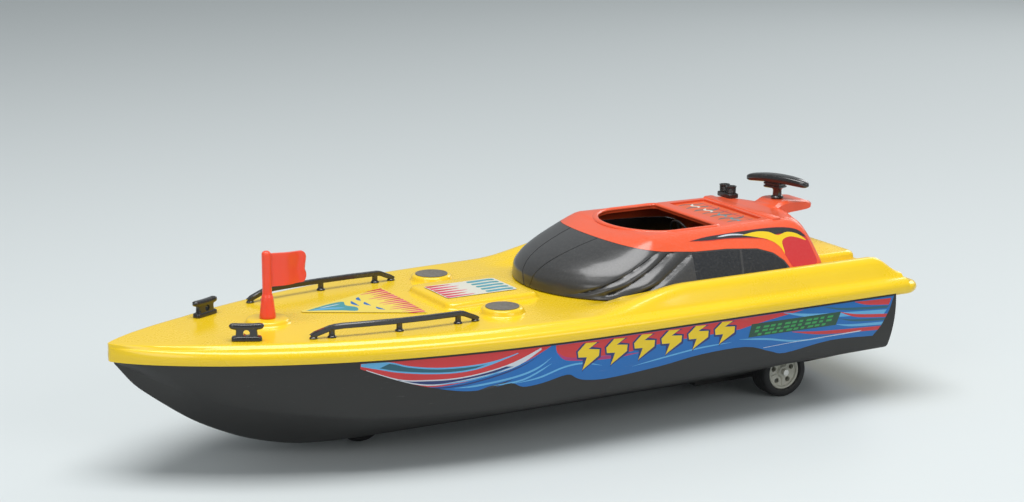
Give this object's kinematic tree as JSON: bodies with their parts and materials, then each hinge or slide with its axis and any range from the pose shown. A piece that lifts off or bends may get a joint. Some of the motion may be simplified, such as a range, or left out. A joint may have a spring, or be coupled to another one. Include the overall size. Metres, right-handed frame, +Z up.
{
  "type": "toy boat",
  "caption": "Toy speedboat with a pointed hull, dark canopy, open roof, deck fittings and a flag, rolling on hidden wheels with a flywheel drive.",
  "frame": {"origin": "on the floor, under the middle of the boat's beam and, to within 2 mm, of its length", "axes": "+X towards the bow, +Y to port, +Z up"},
  "size_m": [0.392, 0.1406, 0.103],
  "materials": {
    "yellow_plastic": "glossy injection-moulded plastic",
    "black_hull_plastic": "satin injection-moulded plastic",
    "smoke_grey_plastic": "glossy smoke-grey plastic",
    "orange_plastic": "glossy plastic",
    "red_plastic": "glossy plastic",
    "black_trim_plastic": "semi-gloss plastic",
    "black_tyre": "soft vinyl",
    "pale_hub_plastic": "satin plastic",
    "plated_steel": "zinc plated",
    "white_nylon": "natural nylon",
    "black_case_plastic": "satin plastic",
    "grey_label": "printed film",
    "printed_label": "printed film"
  },
  "bodies": {
    "boat": {"hull_shell": "black_hull_plastic", "deck_shell": "yellow_plastic", "canopy": "smoke_grey_plastic", "cabin_roof": "orange_plastic", "cockpit_tub": "black_trim_plastic", "twin_horn": "black_trim_plastic", "flag": "red_plastic", "cleat_port": "black_trim_plastic", "cleat_starboard": "black_trim_plastic", "rail_port": "black_trim_plastic", "rail_starboard": "black_trim_plastic", "boss_disc_port": "grey_label", "boss_disc_starboard": "grey_label", "hatch_label": "printed_label", "foredeck_label": "printed_label", "roof_label": "printed_label", "front_axle": "plated_steel", "gearbox_case_port": "black_case_plastic", "gearbox_case_starboard": "black_case_plastic", "hull_screw_1": "plated_steel", "hull_screw_2": "plated_steel", "hull_screw_3": "plated_steel", "hull_screw_4": "plated_steel", "hull_screw_5": "plated_steel", "gearbox_screw_1": "plated_steel", "gearbox_screw_2": "plated_steel"},
    "rear_axle": {"rear_axle": "plated_steel", "axle_gear": "white_nylon", "rear_hub_port": "pale_hub_plastic", "rear_hub_starboard": "pale_hub_plastic", "rear_tyre_port": "black_tyre", "rear_tyre_starboard": "black_tyre"},
    "idler": {"idler_gear": "white_nylon", "idler_shaft": "plated_steel"},
    "flywheel": {"flywheel": "plated_steel", "flywheel_pinion": "white_nylon", "flywheel_shaft": "plated_steel"},
    "front_wheel": {"front_hub": "pale_hub_plastic", "front_tyre": "black_tyre"},
    "radar": {"radar_scanner": "black_trim_plastic"},
    "steering": {"steering_wheel": "black_trim_plastic"}
  },
  "joints": [
    {"name": "rear_axle_spin", "type": "hinge", "parent": "boat", "child": "rear_axle", "pos_m": [-0.136, 0, 0.0125], "axis": [0, 1, 0], "continuous": true},
    {"name": "idler_spin", "type": "hinge", "parent": "boat", "child": "idler", "pos_m": [-0.13306, 0, 0.02153], "axis": [0, 1, 0], "continuous": true},
    {"name": "flywheel_spin", "type": "hinge", "parent": "boat", "child": "flywheel", "pos_m": [-0.12362, 0, 0.02253], "axis": [0, 1, 0], "continuous": true},
    {"name": "front_wheel_spin", "type": "hinge", "parent": "boat", "child": "front_wheel", "pos_m": [0.0755, 0, 0.0125], "axis": [0, 1, 0], "continuous": true},
    {"name": "radar_spin", "type": "hinge", "parent": "boat", "child": "radar", "pos_m": [-0.1565, 0, 0.0902], "axis": [0, 0, 1], "continuous": true},
    {"name": "steering_spin", "type": "hinge", "parent": "boat", "child": "steering", "pos_m": [-0.106, -0.008, 0.074], "axis": [-0.9272, 0, 0.3746], "continuous": true}
  ],
  "couplings": [
    {"joint": "idler_spin", "follows": "flywheel_spin", "ratio": -0.35714},
    {"joint": "rear_axle_spin", "follows": "flywheel_spin", "ratio": 0.12755}
  ]
}
